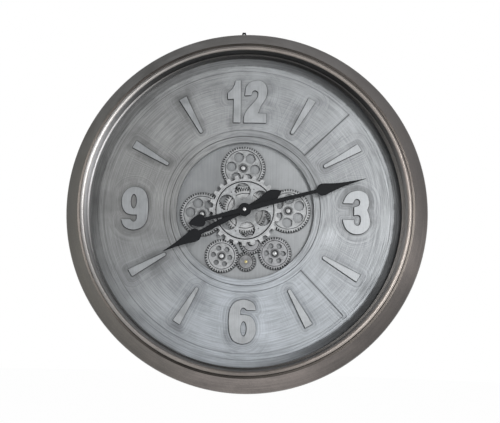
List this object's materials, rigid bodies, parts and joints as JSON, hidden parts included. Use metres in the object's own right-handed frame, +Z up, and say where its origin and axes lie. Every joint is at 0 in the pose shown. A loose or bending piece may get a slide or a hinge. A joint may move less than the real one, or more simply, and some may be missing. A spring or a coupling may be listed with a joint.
{
  "type": "gear wall clock",
  "caption": "Round wall clock with a sloping metal frame, a brushed dial with raised numbers and bars, and meshed show gears turning in a recessed well behind the two hands.",
  "frame": {"origin": "centre of the clock on the wall plane, where the rubber bumpers' back faces rest", "axes": "+Y into the wall, along the hands' axis; +Z up towards the 12; +X to the right seen from the front"},
  "size_m": [0.6, 0.0782, 0.613],
  "materials": {
    "pewter": "satin",
    "dial_steel": "brushed",
    "numeral_steel": "brushed",
    "gear_steel": "brushed",
    "dark_gear_steel": "brushed",
    "well_steel": "satin",
    "bright_screw": "polished",
    "zinc": "satin",
    "brass": "satin",
    "hand_black": "satin",
    "back_black": "matte",
    "hanger_black": "satin",
    "bumper_rubber": "matte",
    "case_plastic": "matte",
    "white_plastic": "matte",
    "motor_steel": "satin",
    "cell_skin": "gloss",
    "board_green": "matte",
    "coil_copper": "satin",
    "lead_red": "gloss"
  },
  "bodies": {
    "clock_case": {"frame_rim": "pewter", "dial_plate": "dial_steel", "well_cup": "well_steel", "back_panel": "back_black", "back_screws": "zinc", "dial_screws": "zinc", "well_screws": "zinc", "spacer_posts": "zinc", "wall_bumpers": "bumper_rubber", "hanger_plate": "hanger_black", "hanger_rivets": "zinc", "numeral_12": "numeral_steel", "numeral_3": "numeral_steel", "numeral_6": "numeral_steel", "numeral_9": "numeral_steel", "hour_bars": "numeral_steel", "gear_bush": "brass", "bush_washer": "zinc", "bush_nut": "brass", "axle_posts": "zinc", "axle_screws": "bright_screw", "gearbox_case": "motor_steel", "motor_can": "motor_steel", "small_screws": "zinc", "battery_box": "case_plastic", "battery_cells": "cell_skin", "battery_contacts": "motor_steel", "power_switch": "case_plastic", "power_leads": "lead_red", "movement_case": "case_plastic", "movement_cover": "case_plastic", "movement_board": "board_green", "movement_coil": "coil_copper", "movement_washer": "bumper_rubber", "movement_cell": "cell_skin", "cell_contacts": "motor_steel"},
    "cluster": {"centre_fine_gear": "dark_gear_steel", "coarse_gear": "gear_steel", "front_disc": "gear_steel", "cluster_hub": "gear_steel"},
    "top_wheel": {"gear_top": "gear_steel"},
    "right_wheel": {"gear_right": "gear_steel"},
    "left_wheel": {"gear_left": "gear_steel"},
    "idler": {"idler_gear": "dark_gear_steel"},
    "drive": {"drive_pinion": "dark_gear_steel", "motor_shaft": "brass"},
    "lower_left_wheel": {"gear_lower_left": "gear_steel"},
    "lower_right_wheel": {"gear_lower_right": "dark_gear_steel"},
    "minute": {"minute_hand": "hand_black", "minute_arbor": "brass", "hand_nut": "bright_screw"},
    "hour": {"hour_hand": "hand_black", "hour_pipe": "brass"},
    "minute_works": {"minute_wheel": "white_plastic"},
    "setting": {"setting_wheel": "white_plastic"},
    "battery_lid": {"battery_cover": "case_plastic"},
    "switch_nub": {"switch_slider": "white_plastic"},
    "hanger_ring": {"hanging_ring": "hanger_black"}
  },
  "joints": [
    {"name": "cluster_spin", "type": "hinge", "parent": "clock_case", "child": "cluster", "pos_m": [0, -0.036, 0], "axis": [0, 1, 0], "continuous": true},
    {"name": "top_spin", "type": "hinge", "parent": "clock_case", "child": "top_wheel", "pos_m": [-0.00437, -0.032, 0.07142], "axis": [0, 1, 0], "continuous": true},
    {"name": "right_spin", "type": "hinge", "parent": "clock_case", "child": "right_wheel", "pos_m": [0.07154, -0.032, 0.00112], "axis": [0, 1, 0], "continuous": true},
    {"name": "left_spin", "type": "hinge", "parent": "clock_case", "child": "left_wheel", "pos_m": [-0.0712, -0.032, -0.00711], "axis": [0, 1, 0], "continuous": true},
    {"name": "idler_spin", "type": "hinge", "parent": "clock_case", "child": "idler", "pos_m": [0.01086, -0.032, -0.0529], "axis": [0, 1, 0], "continuous": true},
    {"name": "drive_spin", "type": "hinge", "parent": "clock_case", "child": "drive", "pos_m": [0.00346, -0.032, -0.08444], "axis": [0, 1, 0], "continuous": true},
    {"name": "lower_left_spin", "type": "hinge", "parent": "clock_case", "child": "lower_left_wheel", "pos_m": [-0.03683, -0.032, -0.07595], "axis": [0, 1, 0], "continuous": true},
    {"name": "lower_right_spin", "type": "hinge", "parent": "clock_case", "child": "lower_right_wheel", "pos_m": [0.05065, -0.032, -0.06971], "axis": [0, 1, 0], "continuous": true},
    {"name": "minute_spin", "type": "hinge", "parent": "clock_case", "child": "minute", "pos_m": [0, -0.054, 0], "axis": [0, 1, 0], "continuous": true},
    {"name": "hour_spin", "type": "hinge", "parent": "clock_case", "child": "hour", "pos_m": [0, -0.05, 0], "axis": [0, 1, 0], "continuous": true},
    {"name": "minute_works_spin", "type": "hinge", "parent": "clock_case", "child": "minute_works", "pos_m": [0.0048, -0.013, 0.00831], "axis": [0, 1, 0], "continuous": true},
    {"name": "setting_spin", "type": "hinge", "parent": "clock_case", "child": "setting", "pos_m": [0.0145, -0.012, 0.01391], "axis": [0, 1, 0], "continuous": true},
    {"name": "battery_lid_slide", "type": "slide", "parent": "clock_case", "child": "battery_lid", "axis": [1, 0, 0], "range_m": [0, 0.0619]},
    {"name": "switch_slide", "type": "slide", "parent": "clock_case", "child": "switch_nub", "axis": [1, 0, 0], "range_m": [0, 0.004]},
    {"name": "hanging_ring_swing", "type": "hinge", "parent": "clock_case", "child": "hanger_ring", "pos_m": [-0.009, -0.0031, 0.272], "axis": [-1, 0, 0], "range_deg": [0, 170]}
  ],
  "couplings": [
    {"joint": "top_spin", "follows": "cluster_spin", "ratio": -1.0385},
    {"joint": "right_spin", "follows": "cluster_spin", "ratio": -1.0385},
    {"joint": "left_spin", "follows": "cluster_spin", "ratio": -1.0385},
    {"joint": "idler_spin", "follows": "cluster_spin", "ratio": -2.0769},
    {"joint": "drive_spin", "follows": "cluster_spin", "ratio": 2.4545},
    {"joint": "lower_left_spin", "follows": "cluster_spin", "ratio": -1.3846},
    {"joint": "lower_right_spin", "follows": "cluster_spin", "ratio": 1.4211},
    {"joint": "hour_spin", "follows": "minute_spin", "ratio": 0.083333},
    {"joint": "minute_works_spin", "follows": "minute_spin", "ratio": -0.33333},
    {"joint": "setting_spin", "follows": "minute_spin", "ratio": 0.6}
  ]
}
